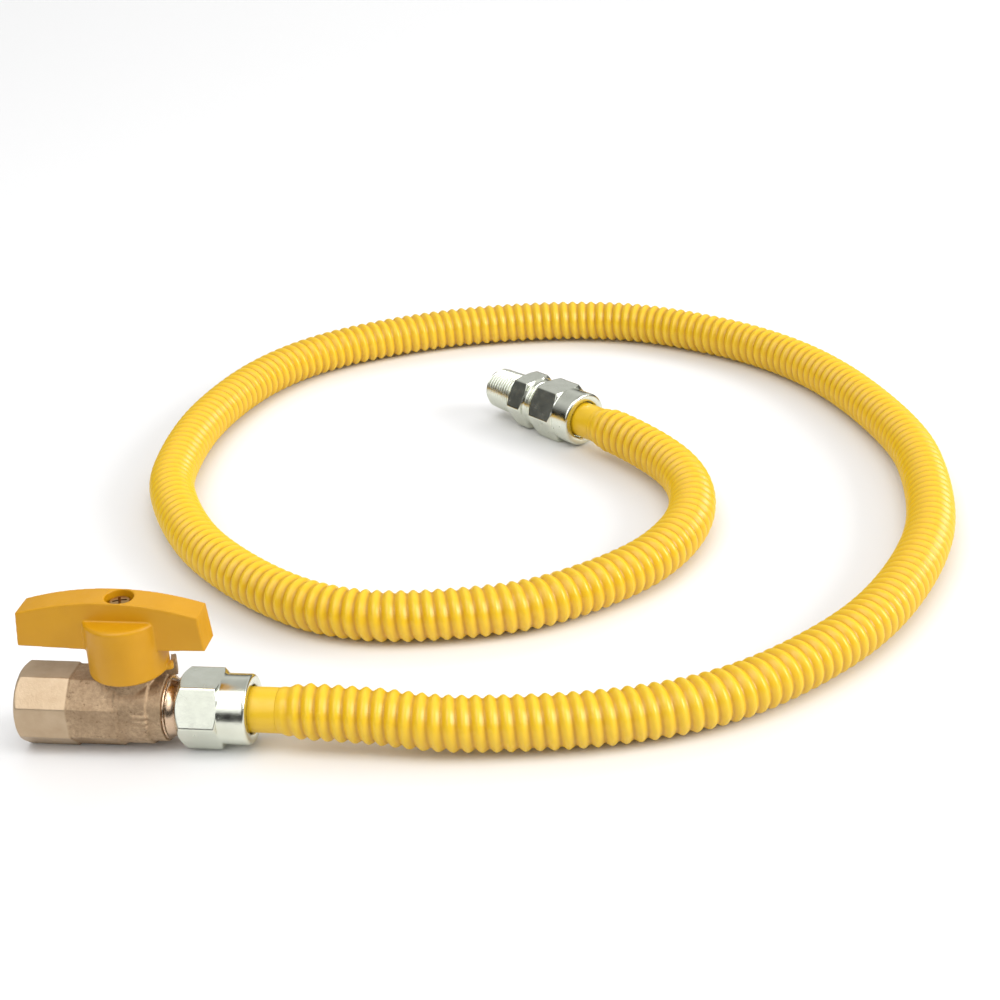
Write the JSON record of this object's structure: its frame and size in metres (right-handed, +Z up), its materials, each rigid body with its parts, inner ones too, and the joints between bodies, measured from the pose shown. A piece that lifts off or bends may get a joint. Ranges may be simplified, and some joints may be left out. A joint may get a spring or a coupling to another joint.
{
  "type": "gas ball valve with flexible connector",
  "caption": "Quarter-turn brass gas ball valve with a T handle, flare-coupled to a coated corrugated hose that ends in a male pipe adapter.",
  "frame": {"origin": "on the resting surface, below the middle of the valve and its flare nut", "axes": "+X along the gas way from the inlet towards the hose, +Z up along the stem, +Y to the valve's left"},
  "size_m": [0.3844, 0.4482, 0.0628],
  "materials": {
    "cast_brass": "rough cast, turned at the ends",
    "turned_brass": "turned",
    "ball_chrome": "polished plating",
    "seal_white": "smooth fluoropolymer",
    "seal_rubber": "matt nitrile",
    "handle_yellow": "satin yellow enamel",
    "zinc_plate": "bright zinc plate",
    "screw_plate": "yellow passivated zinc",
    "stainless": "annealed stainless",
    "yellow_coating": "satin-gloss polymer coating"
  },
  "bodies": {
    "valve": {"valve_body": "cast_brass", "inlet_seat": "seal_white", "outlet_seat": "seal_white", "outlet_tailpiece": "turned_brass", "stem_thrust_washer": "seal_white", "valve_end_nut": "zinc_plate", "valve_end_clamp_ring": "zinc_plate", "valve_end_flare": "stainless", "valve_end_cuff": "yellow_coating", "hose_tube": "stainless", "hose_coating": "yellow_coating", "outlet_end_cuff": "yellow_coating", "outlet_end_flare": "stainless", "outlet_end_clamp_ring": "zinc_plate", "outlet_end_nut": "zinc_plate", "outlet_adapter": "zinc_plate"},
    "turning": {"handle": "handle_yellow", "handle_washer": "zinc_plate", "handle_screw": "screw_plate", "stem": "turned_brass", "lower_stem_o_ring": "seal_rubber", "upper_stem_o_ring": "seal_rubber", "ball": "ball_chrome"}
  },
  "joints": [
    {"name": "handle_turn", "type": "hinge", "parent": "valve", "child": "turning", "pos_m": [-0.0014, 0, 0.045], "axis": [0, 0, 1], "range_deg": [-90, 0]}
  ]
}
